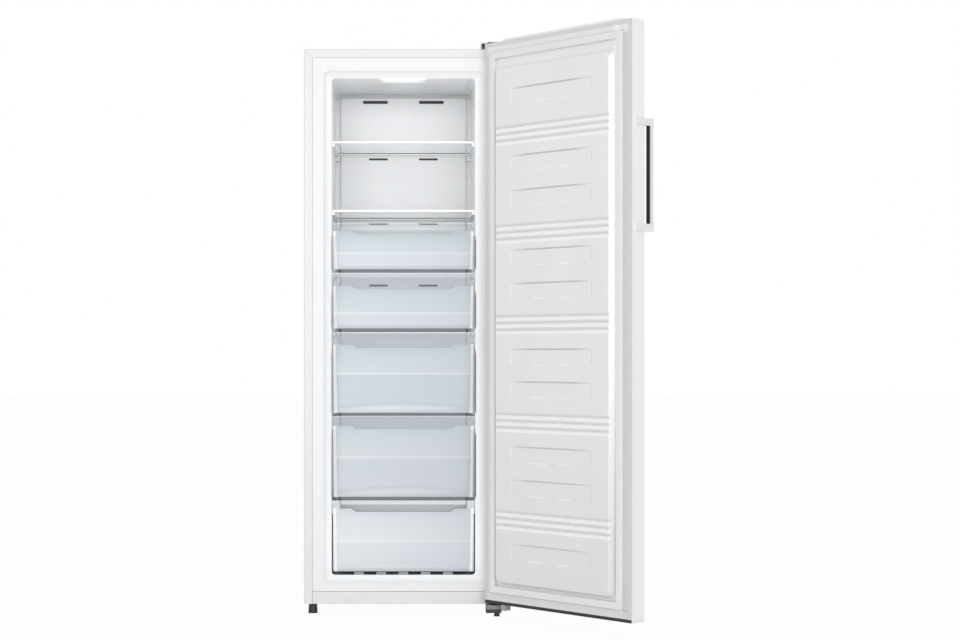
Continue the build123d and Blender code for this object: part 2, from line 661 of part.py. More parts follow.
def outward(t0, t1):
    """The pair of y values of two distances outward from the closed door's inner plane."""
    return (INNER_Y - t1, INNER_Y - t0)


def door_outline(inset, radius, inner=0.0):
    """The door's section seen from above, with rounded outer corners."""
    y = outward(inner, DOOR_T - inset)
    shape = Pos(0, (y[0] + y[1]) / 2) * Rectangle(2 * (HALF - inset), y[1] - y[0])
    return fillet(shape.vertices().group_by(Axis.Y)[0], radius)


def make_door_skin():
    """The folded steel skin: the outer face, both edges and narrow returns on the inside."""
    sheet = door_outline(0, DOOR_R) - door_outline(SHEET, DOOR_R - SHEET, SHEET)
    gap = Pos(0, INNER_Y) * Rectangle(2 * (HALF - RETURN_W), 6)
    sheet -= gap
    return extrude(Pos(0, 0, SKIN_Z[0]) * sheet, SKIN_Z[1] - SKIN_Z[0])


def groove_tool(z, wall):
    """The cutter of one groove across the raised panel, wider where it makes the wall's inside."""
    top_y = INNER_Y + PANEL_OUT - wall
    wide, narrow = GROOVE_W / 2 + wall, GROOVE_FLOOR / 2 + wall
    section = Polygon(
        (top_y + 1, z - wide),
        (top_y + 1, z + wide),
        (top_y - GROOVE_D, z + narrow),
        (top_y - GROOVE_D, z - narrow),
        align=None,
    )
    plane = Plane((-HALF, 0, 0), x_dir=(0, 1, 0), z_dir=(1, 0, 0))
    return extrude(plane * section, WIDTH, dir=(1, 0, 0))


def pad_tool(z_top, wall):
    """The cutter of one shallow pad, with drafted sides."""
    top_y = INNER_Y + PANEL_OUT - wall
    wide = Rectangle(PAD_W + 2 * wall, PAD_H + 2 * wall)
    small = Rectangle(PAD_W - 8 + 2 * wall, PAD_H - 4 + 2 * wall)
    z = z_top - PAD_H / 2
    return loft(
        [
            upright(top_y + 0.01) * Pos(0, z) * wide,
            upright(top_y - PAD_D) * Pos(0, z) * small,
        ],
        ruled=True,
    )


def raised_panel(wall):
    """The raised middle of the door liner with its grooves and pads, shrunk by a wall."""
    base = window(PANEL_BASE_HALF - wall, grown(PANEL_BASE_Z, -wall), 24 - wall)
    face_z = grown(PANEL_BASE_Z, -PANEL_DRAFT - wall)
    face = window(PANEL_BASE_HALF - PANEL_DRAFT - wall, face_z, 18 - wall)
    panel = loft(
        [upright(INNER_Y) * base, upright(INNER_Y + PANEL_OUT - wall) * face],
        ruled=True,
    )
    cutters = []
    for middle in GROOVE_GROUPS:
        for n in (-1, 0, 1):
            cutters.append(groove_tool(middle + n * GROOVE_PITCH, wall))
    for z_top in PAD_TOPS:
        cutters.append(pad_tool(z_top, wall))
    return panel - cutters


def make_door_liner():
    """The moulded inner panel: a flat frame and a raised middle, one wall thickness all over."""
    half = HALF - RETURN_W - 0.2
    z = grown(SKIN_Z, -0.3)
    frame = prism(Pos(0, (z[0] + z[1]) / 2) * Rectangle(2 * half, z[1] - z[0]), outward(0, 2))
    hole = window(PANEL_BASE_HALF - 2, grown(PANEL_BASE_Z, -2), 22)
    return frame - prism(hole, outward(-1, 3)) + (raised_panel(0) - raised_panel(2))


def make_door_foam():
    """The insulation in the door, with a drafted core that fills the raised panel up to the
    floors of its grooves."""
    body = door_outline(SHEET + 0.2, DOOR_R - SHEET, 2.2)
    body = extrude(Pos(0, 0, SKIN_Z[0] + 7) * body, SKIN_Z[1] - SKIN_Z[0] - 14)
    base = window(PANEL_BASE_HALF - 2.2, grown(PANEL_BASE_Z, -2.2), 21.8)
    inset = PANEL_DRAFT + 3.0
    face = window(PANEL_BASE_HALF - inset, grown(PANEL_BASE_Z, -inset), 16)
    core_y = INNER_Y + PANEL_OUT - GROOVE_D - 2.2
    core = loft([upright(INNER_Y - 3) * base, upright(core_y) * face], ruled=True)
    return body + core


def make_top_cap():
    """The cap that closes the door's top, with a low raised rib along its rear half."""
    plate = extrude(Pos(0, 0, SKIN_Z[1]) * door_outline(0, DOOR_R), DOOR_Z[1] - SKIN_Z[1])
    plate = chamfer(plate.edges().group_by(Axis.Z)[-1], 1.2)
    plug = door_outline(SHEET + 0.3, DOOR_R - SHEET, SHEET + 1.4)
    plate += extrude(Pos(0, 0, SKIN_Z[1] - 6) * plug, 6)
    rib_x = (-TOP_RIB_HALF, TOP_RIB_HALF)
    rib = block(rib_x, outward(20, 49), (DOOR_Z[1] - 1, DOOR_Z[1] + TOP_RIB_H))
    rib = chamfer(rib.edges().group_by(Axis.Z)[-1], 1.5)
    return plate + rib - post(PIN_X, PIN_Y, (SKIN_Z[1] - 10, DOOR_Z[1] + 1), 7.0)


def make_bottom_cap():
    """The black cap that closes the door's bottom."""
    plate = extrude(Pos(0, 0, DOOR_Z[0]) * door_outline(0, DOOR_R), SKIN_Z[0] - DOOR_Z[0])
    plug = door_outline(SHEET + 0.3, DOOR_R - SHEET, SHEET + 1.4)
    plate += extrude(Pos(0, 0, SKIN_Z[0]) * plug, 6)
    return plate - post(PIN_X, PIN_Y, (DOOR_Z[0] - 1, SKIN_Z[0] + 7), 7.0)


def make_bushes():
    """The plastic bushes in the two caps, which turn on the pins."""
    low = post(PIN_X, PIN_Y, (DOOR_Z[0] - 0.8, SKIN_Z[0] + 6), 7.0)
    high = post(PIN_X, PIN_Y, (SKIN_Z[1] - 6, DOOR_Z[1] + 1), 7.0)
    bore = post(PIN_X, PIN_Y, (0, 2000), PIN_R + BUSH_CLEAR)
    return Compound(children=[low - bore, high - bore])


def frame_ring(half, z, width, y):
    """A frame of constant width, mitred at its corners, between two y values."""
    middle = Pos(0, (z[0] + z[1]) / 2)
    outside = Rectangle(2 * half, z[1] - z[0])
    inside = Rectangle(2 * (half - width), z[1] - z[0] - 2 * width)
    return prism(middle * (outside - inside), y)


def make_gasket():
    """The magnetic seal: a broad soft head on a narrower bellows, snapped to the liner's frame."""
    head = frame_ring(GASKET_HALF, GASKET_Z, GASKET_W, (FRONT - 6.5, FRONT - 0.6))
    head = chamfer(head.edges().group_by(Axis.Y)[-1], 1.6)
    waist_y, root_y = (INNER_Y + 2.5, FRONT - 6), (INNER_Y, INNER_Y + 3.5)
    waist = frame_ring(GASKET_HALF - 3, grown(GASKET_Z, -3), GASKET_W - 9, waist_y)
    root = frame_ring(GASKET_HALF - 1, grown(GASKET_Z, -1), GASKET_W - 5, root_y)
    return head + waist + root


def make_door_guide():
    """The small block under the door's hinge end."""
    x = (PIN_X - 64, PIN_X - 48)
    guide = block(x, outward(0.5, 26), (24, DOOR_Z[0]))
    return chamfer(guide.edges().filter_by(Axis.Z), 1.5)


def make_handle_bracket(z):
    """A bracket fixed on the door's free edge, which reaches round to the bar."""
    edge_x = (-HALF - BRACKET_PROUD, -HALF)
    plate = block(edge_x, outward(BRACKET_IN, BAR_FAR), z)
    end_x = (-HALF - BRACKET_PROUD, -HALF - BRACKET_PROUD + BAR_W)
    plate += block(end_x, outward(DOOR_T + 4, BAR_FAR), z)
    plate = fillet(plate.edges().filter_by(Axis.X).group_by(Axis.Y)[-1], 2.5)
    return plate


def make_handle_bar():
    """The bright profile between the brackets, open towards the door."""
    x = (-HALF - BRACKET_PROUD, -HALF - BRACKET_PROUD + BAR_W)
    z = (HANDLE_Z[0] + BRACKET_H, HANDLE_Z[1] - BRACKET_H)
    bar = block(x, outward(BAR_NEAR + GRIP_T, BAR_FAR), z)
    return chamfer(bar.edges().filter_by(Axis.Z).group_by(Axis.Y)[0], 2.0)


def make_handle_grip():
    """The dark strip along the inner side of the bar."""
    x = (-HALF - BRACKET_PROUD + 0.4, -HALF - BRACKET_PROUD + BAR_W - 0.4)
    z = (HANDLE_Z[0] + BRACKET_H, HANDLE_Z[1] - BRACKET_H)
    return block(x, outward(BAR_NEAR, BAR_NEAR + GRIP_T), z)


# ---------------------------------------------------------------- writing the pieces


def all_pieces():
    pieces = {
        "cabinet_wrapper": make_wrapper(),
        "rear_panel": make_rear_panel(),
        "kick_strip": make_kick_strip(),
        "cabinet_foam": make_foam(),
        "inner_liner": make_liner(),
        "base_pan": make_base_pan(),
        "machine_room_cover": make_room_cover(),
        "mains_inlet": make_mains_inlet(),
        "evaporator_cover": make_evaporator_cover(),
        "air_duct": make_air_duct(),
        "fan_impeller": make_fan_impeller(),
        "fan_motor": make_fan_motor(),
        "evaporator": make_evaporator(),
        "defrost_heater": make_defrost_heater(),
        "lamp_cover": make_lamp_cover(),
        "lamp_board": make_lamp_board(),
        "compressor": make_compressor(),
        "compressor_mounts": make_compressor_mounts(),
        "start_relay": make_start_relay(),
        "drip_tray": make_drip_tray(),
        "filter_drier": make_filter_drier(),
        "refrigerant_tubes": make_tubes(),
        "control_box": make_control_box(),
        "top_hinge": make_top_hinge(),
        "top_hinge_cover": make_top_hinge_cover(),
        "bottom_hinge": make_bottom_hinge(),
        "foot_block": make_foot_block(),
        "hinge_screws": make_hinge_screws(),
        "left_foot": make_left_foot(),
        "right_foot": make_right_foot(),
        "roller_brackets": make_roller_brackets(),
        "left_roller": make_roller(-1),
        "right_roller": make_roller(1),
        "door_skin": swung(make_door_skin()),
        "door_liner": swung(make_door_liner()),
        "door_foam": swung(make_door_foam()),
        "door_top_cap": swung(make_top_cap()),
        "door_bottom_cap": swung(make_bottom_cap()),
        "door_gasket": swung(make_gasket()),
        "door_bushes": swung(make_bushes()),
        "door_guide": swung(make_door_guide()),
        "handle_bar": swung(make_handle_bar()),
        "handle_grip": swung(make_handle_grip()),
    }
    low, high = HANDLE_Z
    lower = make_handle_bracket((low, low + BRACKET_H))
    upper = make_handle_bracket((high - BRACKET_H, high))
    pieces["handle_brackets"] = swung(Compound(children=[lower, upper]))
    for n, top in enumerate(SHELF_TOPS, 1):
        pieces[f"shelf_{n}_glass"] = make_shelf_glass(top)
        pieces[f"shelf_{n}_trims"] = make_shelf_trims(top)
    for n, (bottom, top, lip, step) in enumerate(DRAWERS, 1):
        low = n == len(DRAWERS)
        rear = LOW_BIN_REAR if low else BIN_REAR
        pieces[f"drawer_{n}_front"] = make_drawer_front(bottom, top, lip, step)
        pieces[f"drawer_{n}_bin"] = make_drawer_bin(bottom, top, lip, rear, low)
    return pieces


for name, piece in all_pieces().items():
    export_step(piece, f"parts/{name}.step")
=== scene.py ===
import bmesh
import bpy
import numpy as np
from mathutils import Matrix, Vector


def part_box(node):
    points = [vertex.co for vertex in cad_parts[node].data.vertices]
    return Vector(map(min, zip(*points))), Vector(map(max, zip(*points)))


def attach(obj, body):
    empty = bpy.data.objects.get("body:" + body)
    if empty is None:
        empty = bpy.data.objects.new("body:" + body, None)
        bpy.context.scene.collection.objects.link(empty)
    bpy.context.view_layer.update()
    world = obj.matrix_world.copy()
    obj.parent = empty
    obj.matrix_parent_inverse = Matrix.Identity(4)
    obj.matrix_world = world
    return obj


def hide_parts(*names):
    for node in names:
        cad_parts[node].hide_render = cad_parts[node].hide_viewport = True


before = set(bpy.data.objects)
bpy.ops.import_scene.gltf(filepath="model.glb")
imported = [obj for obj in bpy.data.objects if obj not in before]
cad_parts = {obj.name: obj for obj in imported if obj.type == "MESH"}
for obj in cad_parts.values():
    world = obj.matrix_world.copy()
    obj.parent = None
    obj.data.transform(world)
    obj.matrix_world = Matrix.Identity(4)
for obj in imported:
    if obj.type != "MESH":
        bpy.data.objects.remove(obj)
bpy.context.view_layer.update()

# ---- sizes shared with the solids, in metres ----
FRONT = -0.2925  # y of the cabinet's front plane
BACK_Y = FRONT + 0.403  # y of the rear wall inside
COVER_TOP = 1.5917  # top of the duct cover
HALF_W = 0.2975  # half the width of the cabinet and of the door
SUPPORT_Z = 0.1175  # about the middle height of the supports under the lowest drawer
FACE_Y = FRONT + 0.038  # y of the drawers' faces
DRAWERS = [  # bottom, top, grip lip, relief step
    (1.0330, 1.1730, 1.1480, 1.0790),
    (0.8550, 1.0220, 0.9820, 0.8990),
    (0.6010, 0.8430, 0.8060, 0.7170),
    (0.3475, 0.5910, 0.5610, 0.4650),
    (0.1240, 0.3370, 0.3130, 0.2120),
]
LOWEST = DRAWERS[-1][0]  # bottom of the lowest drawer
TALL = 0.23  # drawers taller than this have a strong bowed highlight
# the bright line is a painted highlight
BRIGHT_X = 0.2035  # x of the bright line down a drawer's side slope, at its foot
INNER_Y = FRONT - 0.012  # inner plane of the closed door
OUTER_Y = INNER_Y - 0.052  # its outer plane
PIN_X, PIN_Y, OPEN_ANGLE = 0.2775, FRONT - 0.041, np.radians(130.0)
PANEL_HALF = 0.238  # half the width of the door liner's raised panel, at its base
GROOVES = [1.4165, 1.1295, 0.8650, 0.5800, 0.2950]  # middles of the groups of three
GROOVE_PITCH = 0.0197
PADS = [1.550, 1.354, 1.253, 1.080, 0.9825, 0.792, 0.6975, 0.509, 0.412, 0.225]  # their tops
PAD_H = 0.045
SEAL_HALF, SEAL_Z, SEAL_W = 0.2665, (0.075, 1.667), 0.020
COMPRESSOR = (0.095, FRONT + 0.452)
POST_X, POST_Y = 0.080, 0.044  # from the compressor's axis to its rubber posts
INLET = (-0.250, FRONT + 0.5835, 0.058)

# ---- light ----
# the duct cover's glow and the door liner's glints are painted light; the lens glow is the lamp's
GLOW_BEHIND_DRAWERS, DOOR_GLINT, LENS_GLOW = 0.46, 0.12, 0.35  # strengths that finishes give off
FILL_Z = 0.865  # height of the middle of the lamp at the opening

# ---- the photograph's camera, in its pixels and in metres ----
IMAGE_W, IMAGE_H = 960, 640
SENSOR = 36.0
FOCAL_PX, CENTRE_PX = 1956.5, (403.4, 353.4)
CAMERA_AT = (0.0, -6.1425, 0.780)


def tone(red, green, blue):
    """Screen values from 0 to 255 as the linear colour that renders like them."""
    screen = np.array([red, green, blue]) / 255.0
    low, high = screen / 12.92, ((screen + 0.055) / 1.055) ** 2.4
    return tuple(float(v) for v in np.where(screen <= 0.04045, low, high))


BLACK, WHITE = tone(0, 0, 0), tone(255, 255, 255)


class Signal:
    """One value in a finish's nodes. Arithmetic on it adds Math nodes."""

    def __init__(self, finish, socket):
        self.finish = finish
        self.socket = socket

    def math(self, operation, first, second=0.0):
        settings = {"operation": operation}
        made = self.finish.node("ShaderNodeMath", settings, {0: first, 1: second})
        return Signal(self.finish, made.outputs[0])

    def __add__(self, other):
        return self.math("ADD", self, other)

    def __sub__(self, other):
        return self.math("SUBTRACT", self, other)

    def __rsub__(self, other):
        return self.math("SUBTRACT", other, self)

    def __mul__(self, other):
        return self.math("MULTIPLY", self, other)

    __radd__ = __add__
    __rmul__ = __mul__

    def size(self):
        return self.math("ABSOLUTE", self)

    def larger(self, other):
        return self.math("MAXIMUM", self, other)

    def smaller(self, other):
        return self.math("MINIMUM", self, other)

    def ramp(self, low, high):
        """Nought at low, one at high, straight between and level beyond."""
        return self.finish.wire("ShaderNodeMapRange", {}, {0: self, 1: low, 2: high})

    def near(self, middle, reach):
        """One at and close to a middle value, fading to nought at a reach on either side."""
        return (self - middle).size().ramp(reach, reach * 0.4)


class Nodes:
    """A node tree and the one way to add to it."""

    def __init__(self, owner):
        owner.use_nodes = True
        self.tree = owner.node_tree
        self.tree.nodes.clear()

    def node(self, kind, settings=None, inputs=None):
        """A node of a type, with its settings and then the values or links of its sockets."""
        made = self.tree.nodes.new(kind)
        for name, value in (settings or {}).items():
            setattr(made, name, value)
        for name, value in (inputs or {}).items():
            socket = made.inputs[name]
            if isinstance(value, Signal):
                self.tree.links.new(value.socket, socket)
            elif isinstance(value, tuple) and socket.type == "RGBA":
                socket.default_value = (*value[:3], 1.0)
            else:
                socket.default_value = value
        return made

    def wire(self, kind, settings=None, inputs=None, output=0):
        """A new node's output, ready for arithmetic."""
        return Signal(self, self.node(kind, settings, inputs).outputs[output])

    def plain_sight(self):
        """One for a ray from the eye, from a mirror or through glass, nought for other light."""
        rays = self.node("ShaderNodeLightPath")
        names = ("Is Camera Ray", "Is Glossy Ray", "Is Transmission Ray")
        eye, mirror, through = (Signal(self, rays.outputs[name]) for name in names)
        return (eye + mirror + through).smaller(1.0)


class Finish(Nodes):
    """A material under construction, with its coordinates."""

    def __init__(self, name):
        self.material = bpy.data.materials.new(name)
        super().__init__(self.material)
        self.place = self.wire("ShaderNodeTexCoord", output="Object")
        split = self.node("ShaderNodeSeparateXYZ", {}, {0: self.place})
        self.x, self.y, self.z = (Signal(self, out) for out in split.outputs)

    def closed_door(self):
        """Across and depth on the door as if it were closed, from its open place."""
        cos, sin = float(np.cos(OPEN_ANGLE)), float(np.sin(OPEN_ANGLE))
        x, y = self.x - PIN_X, self.y - PIN_Y
        return x * cos + y * sin + PIN_X, y * cos - x * sin + PIN_Y

    def noise(self, scale, stretch=(1, 1, 1), detail=2.0):
        """Cloudy values about 0.5, with a scale in cells per metre."""
        settings = {"operation": "MULTIPLY"}
        moved = self.wire("ShaderNodeVectorMath", settings, {0: self.place, 1: stretch})
        inputs = {"Vector": moved, "Scale": scale, "Detail": detail}
        return self.wire("ShaderNodeTexNoise", {}, inputs)

    def uneven(self, middle, swing, scale, detail=2.0):
        """A value that wanders about its middle, by half the swing either way at most."""
        return self.noise(scale, detail=detail) * swing + (middle - swing / 2)

    def blend(self, factor, first, second):
        """The first colour where factor is nought, the second where it is one. A Mix node's
        colours are its sockets 6 and 7, and its mixed colour is its output 2."""
        settings = {"data_type": "RGBA"}
        return self.wire("ShaderNodeMix", settings, {0: factor, 6: first, 7: second}, output=2)

    def clouds(self, first, second):
        """Two close tones in soft clouds, drawn out upwards as warm plastic flows."""
        flow = self.noise(5.0, stretch=(1, 1, 0.4), detail=3.0)
        return self.blend(flow.ramp(0.3, 0.7), first, second)

    def bump(self, height, depth):
        """A surface normal tilted by a height field, with its depth in metres."""
        return self.wire("ShaderNodeBump", {}, {"Height": height, "Distance": depth})

    def done(self, **values):
        """Closes the finish with one Principled surface, its sockets named with underscores."""
        inputs = {name.replace("_", " "): value for name, value in values.items()}
        surface = self.wire("ShaderNodeBsdfPrincipled", {}, inputs)
        self.node("ShaderNodeOutputMaterial", {}, {"Surface": surface})
        return self.material


def dimmed(colour, share):
    """A colour at a share of its brightness."""
    return tuple(share * c for c in colour)


def enamel(name, colour, roughness=0.3):
    """Baked enamel on sheet steel: slightly uneven gloss and a fine orange peel."""
    f = Finish(name)
    return f.done(
        Base_Color=f.blend(f.noise(3.0).ramp(0.3, 0.7), dimmed(colour, 0.985), colour),
        Roughness=f.uneven(roughness, 0.10, 14.0, detail=4.0),
        Normal=f.bump(f.noise(520.0), 0.00006),
        Coat_Weight=0.25,
        Coat_Roughness=0.12,
    )


def moulded(name, colour, roughness=0.38, grain=900.0, coat=0.0):
    """Moulded or formed plastic: a fine grain, soft flow clouds and a slightly uneven sheen."""
    f = Finish(name)
    return f.done(
        Base_Color=f.clouds(dimmed(colour, 0.975), colour),
        Roughness=f.uneven(roughness, 0.12, 40.0),
        Normal=f.bump(f.noise(grain), 0.00005),
        Coat_Weight=coat,
        Coat_Roughness=0.15,
    )


def side_gap_shade(f):
    """Painted shade on the side walls beside the faces of the four upper drawers, from each foot to
    just under its grip: nearly black on the right and weaker on the left."""
    across = f.x.size()
    wall = across.ramp(0.2130, 0.2135) * across.ramp(0.2190, 0.2175)
    depths = f.y.ramp(FACE_Y - 0.026, FACE_Y - 0.022) * f.y.ramp(FACE_Y + 0.024, FACE_Y + 0.016)
    heights = 0.0
    for bottom, _, lip, _ in DRAWERS[:4]:
        foot, grip = f.z.ramp(bottom - 0.004, bottom + 0.006), f.z.ramp(lip - 0.008, lip - 0.030)
        heights = heights + foot * grip
    return wall * depths * heights * (f.x.ramp(0.0, 0.01) * 0.55 + 0.35)


def liner_plastic(name):
    """White vacuum-formed plastic, with painted shade: greyer in the deep corner over the duct
    cover, on the supports under the lowest drawer and on the front ends of the drawers' ledges, and
    a dark line at each side of the drawers' faces."""
    f = Finish(name)
    shade = f.clouds(tone(247, 248, 249), tone(250, 251, 252))
    # painted shade in the deep corner over the duct cover
    corner_depth = f.y.ramp(BACK_Y - 0.006, BACK_Y - 0.003)
    corner = corner_depth * f.z.ramp(COVER_TOP - 0.0057, COVER_TOP + 0.0003)
    shade = f.blend(corner * 0.25, shade, tone(120, 123, 127))
    # painted shade on the supports under the lowest drawer
    supports = f.y.ramp(FACE_Y + 0.002, FACE_Y + 0.006) * f.z.near(SUPPORT_Z, 0.007)
    shade = f.blend(supports * 0.85, shade, tone(112, 115, 118))
    # painted shade on the front ends of the drawers' ledges
    below_shelves = f.z.ramp(1.19, 1.18)
    ledge_ends = f.y.near(FACE_Y + 0.008, 0.002) * f.x.size().ramp(0.203, 0.205) * below_shelves
    shade = f.blend(ledge_ends * 0.8, shade, tone(128, 132, 138))
    return f.done(
        # painted shade in the gaps beside the drawers' faces
        Base_Color=f.blend(side_gap_shade(f), shade, tone(24, 25, 28)),
        Roughness=f.uneven(0.34, 0.12, 40.0),
        Normal=f.bump(f.noise(900.0), 0.00005),
        Coat_Weight=0.2,
        Coat_Roughness=0.15,
    )


def duct_cover_plastic(name):
    """White moulded plastic, with a glow behind the drawers that stands in for the light that
    real clear drawers let through."""
    f = Finish(name)
    behind_drawers = f.z.ramp(1.20, 1.12) * 0.8 + f.z.ramp(1.19, 1.17) * 0.2
    return f.done(
        Base_Color=f.clouds(tone(239, 240, 242), tone(244, 245, 246)),
        Roughness=f.uneven(0.40, 0.12, 40.0),
        Normal=f.bump(f.noise(900.0), 0.00005),
        Emission_Color=f.blend(behind_drawers, BLACK, tone(232, 241, 249)),
        Emission_Strength=GLOW_BEHIND_DRAWERS,
    )


def door_enamel(name):
    """White enamel on the door's skin and cap, painted lighter than the cabinet's enamel as light,
    save on its front, which keeps the cabinet's tone; the narrow returns round the inside are a
    little greyer as painted shade."""
    f = Finish(name)
    # painted light: the door's enamel is lighter than the cabinet's
    shade = f.blend(f.noise(3.0).ramp(0.3, 0.7), tone(250, 250, 250), tone(253, 253, 253))
    _, v = f.closed_door()
    # painted shade on the narrow returns round the inside
    returns = v.ramp(INNER_Y - 0.0016, INNER_Y - 0.0008)
    shade = f.blend(returns, shade, tone(228, 228, 228))
    # the front keeps the cabinet's tone, without the painted light
    front_face = v.ramp(OUTER_Y + 0.004, OUTER_Y + 0.001)
    return f.done(
        Base_Color=f.blend(front_face, shade, tone(240, 240, 241)),
        Roughness=f.uneven(0.30, 0.10, 14.0, detail=4.0),
        Normal=f.bump(f.noise(520.0), 0.00006),
        Coat_Weight=0.25,
        Coat_Roughness=0.12,
    )


def groove_painted_light(f):
    """Painted shade above each middle of the door's grooves and a painted highlight below it."""
    dark, light = 0.0, 0.0
    for middle in GROOVES:
        for n in (-1, 0, 1):
            z = middle + n * GROOVE_PITCH
            dark = dark + f.z.near(z + 0.0035, 0.0065) * 0.16
            light = light + f.z.near(z - 0.0050, 0.0060) * 0.7
    return dark, light


def pad_painted_light(f, u):
    """Painted shade along the top of each of the door's pads and a broken painted highlight along
    each foot, both fading to the ends."""
    ends = u.size().ramp(0.168, 0.09)
    dashes = f.noise(14.0, stretch=(1, 1, 0.02)).ramp(0.44, 0.5)
    dark, light = 0.0, 0.0
    for top in PADS:
        dark = dark + f.z.near(top, 0.0030) * ends * 0.42
        light = light + f.z.near(top - PAD_H, 0.0030) * ends * dashes * 0.6
    return dark, light


def seal_surround(f, u):
    """Where the door liner's frame lies beyond the seal, its painted shade there, greyest on the
    free edge and lightest at the top, and thin lines of painted shade above and below the seal."""
    beyond_top = f.z.ramp(SEAL_Z[1] - 0.005, SEAL_Z[1] - 0.003)
    beyond_foot = f.z.ramp(SEAL_Z[0] + 0.005, SEAL_Z[0] + 0.003)
    beyond = u.size().ramp(SEAL_HALF - 0.0045, SEAL_HALF - 0.0025)
    beyond = beyond.larger(beyond_top).larger(beyond_foot)
    free_edge = u.ramp(0.0045 - SEAL_HALF, 0.0025 - SEAL_HALF)
    frame_shade = f.blend(free_edge, tone(238, 238, 238), tone(226, 226, 226))
    frame_shade = f.blend(f.z.ramp(SEAL_Z[1] - 0.007, SEAL_Z[1] + 0.001), frame_shade, tone(248, 248, 248))
    above = f.z.near(SEAL_Z[1] + 0.0014, 0.0022) * u.size().ramp(SEAL_HALF + 0.002, SEAL_HALF)
    seal_edge_shade = above.larger(f.z.near(SEAL_Z[0] - 0.0014, 0.0020) * 0.7)
    return beyond, frame_shade, seal_edge_shade


def door_liner_plastic(name):
    """White formed plastic with painted light and shade: painted shade on the frame outside the
    seal, painted shade above each groove and a painted highlight below it, painted shade along each
    pad's upper edge and a broken painted highlight along its lower one, a painted shadow over the
    lower door, and a painted highlight on the slope of the free side. The highlights also give off
    a little light."""
    f = Finish(name)
    shade = f.clouds(tone(248, 248, 248), tone(252, 252, 252))
    u, v = f.closed_door()
    on_panel = v.ramp(INNER_Y + 0.012, INNER_Y + 0.014)
    groove_shade, groove_highlight = groove_painted_light(f)
    pad_shade, pad_highlight = pad_painted_light(f, u)
    # painted shade of the grooves and pads
    dark = ((groove_shade + pad_shade) * on_panel).smaller(0.6)
    shade = f.blend(dark, shade, tone(96, 96, 97))
    low_shadow = f.z.ramp(0.75, 0.1) * 0.35
    shade = f.blend(low_shadow, shade, tone(224, 224, 224))
    # painted highlight on the slope of the free side, stronger higher up
    slope = u.ramp(0.0095 - PANEL_HALF, 0.008 - PANEL_HALF)
    slope = slope * u.ramp(-0.012 - PANEL_HALF, -0.008 - PANEL_HALF) * f.z.ramp(0.25, 0.8)
    glint = (slope * 0.9).larger((groove_highlight + pad_highlight) * on_panel)
    shade = f.blend(glint, shade, WHITE)
    beyond, frame_shade, seal_edge_shade = seal_surround(f, u)
    # painted shade on the frame beyond the seal
    shade = f.blend(beyond, shade, frame_shade)
    return f.done(
        # thin lines of painted shade above and below the seal
        Base_Color=f.blend(seal_edge_shade * 0.5, shade, tone(110, 110, 111)),
        Roughness=f.uneven(0.30, 0.12, 40.0),
        Normal=f.bump(f.noise(900.0), 0.00002),
        Coat_Weight=0.3,
        Coat_Roughness=0.15,
        # the painted highlights also give off a little light
        Emission_Color=f.blend(glint, BLACK, WHITE),
        Emission_Strength=DOOR_GLINT,
    )


def bottom_cap_plastic(name):
    """Black plastic, with white enamel on the sides that carry the skin's faces down."""
    f = Finish(name)
    u, v = f.closed_door()
    front_face = v.ramp(OUTER_Y + 0.0012, OUTER_Y + 0.0006)
    outer = u.ramp(0.0013 - HALF_W, 0.0007 - HALF_W).larger(front_face)
    grain = f.noise(700.0)
    black = f.blend(grain, tone(30, 30, 32), tone(38, 38, 40))
    return f.done(
        Base_Color=f.blend(outer, black, tone(246, 246, 246)),
        Roughness=0.5 - outer * 0.2,
        Normal=f.bump(grain, 0.00005),
    )


def rubber(name, colour):
    """Soft rubber, with fine, slightly darker pores and a dull, uneven sheen."""
    f = Finish(name)
    pores = f.noise(700.0, detail=4.0)
    return f.done(
        Base_Color=f.blend(pores.ramp(0.35, 0.75), dimmed(colour, 0.94), colour),
        Roughness=f.uneven(0.57, 0.1, 90.0),
        Normal=f.bump(pores, 0.00008),
    )


def zinc_sheet(name, colour):
    """Galvanised sheet: a mosaic of crystal spangles, each with its own grey and gloss."""
    f = Finish(name)
    cells = {"Vector": f.place, "Scale": 70.0}
    spangle = f.wire("ShaderNodeTexVoronoi", {}, cells, output="Color")
    grey = f.wire("ShaderNodeSeparateColor", {}, {0: spangle})
    shade = f.blend(grey, dimmed(colour, 0.82), colour)
    return f.done(Base_Color=shade, Metallic=1.0, Roughness=grey * 0.2 + 0.34)


def brushed(name, colour, along=(1, 1, 0.02), roughness=0.3):
    """Metal with a grain drawn along one direction and a satin sheen."""
    f = Finish(name)
    grain = f.noise(2600.0, stretch=along, detail=3.0)
    return f.done(
        Base_Color=f.blend(grain.ramp(0.3, 0.7), dimmed(colour, 0.9), colour),
        Metallic=1.0,
        Roughness=grain * 0.16 + (roughness - 0.08),
        Normal=f.bump(grain, 0.00003),
    )


def poured_foam(name, colour):
    """Cut foam: fine cells with darker pits."""
    f = Finish(name)
    cells = f.wire("ShaderNodeTexVoronoi", {}, {"Vector": f.place, "Scale": 420.0})
    shade = f.blend(cells.ramp(0.0, 0.6), colour, dimmed(colour, 0.82))
    return f.done(Base_Color=shade, Roughness=0.9, Normal=f.bump(cells, 0.0006))


def dulled_copper(name):
    """Bare tube: bright copper going brown in patches."""
    f = Finish(name)
    patch = f.noise(60.0, detail=5.0).ramp(0.4, 0.62)
    shade = f.blend(patch, tone(206, 138, 106), tone(132, 84, 62))
    return f.done(Base_Color=shade, Metallic=1.0, Roughness=patch * 0.25 + 0.25)


def shelf_glass(name):
    """Float glass: nearly clear through its faces, faintly green and denser at its edges."""
    f = Finish(name)
    side = f.wire("ShaderNodeNewGeometry", output="True Normal")
    up = f.wire("ShaderNodeSeparateXYZ", {}, {0: side}, output="Z").size()
    shade = f.blend(up, tone(238, 246, 243), tone(244, 248, 248))
    return f.done(Base_Color=shade, Roughness=0.2, Alpha=0.5 - up * 0.36, IOR=1.5)


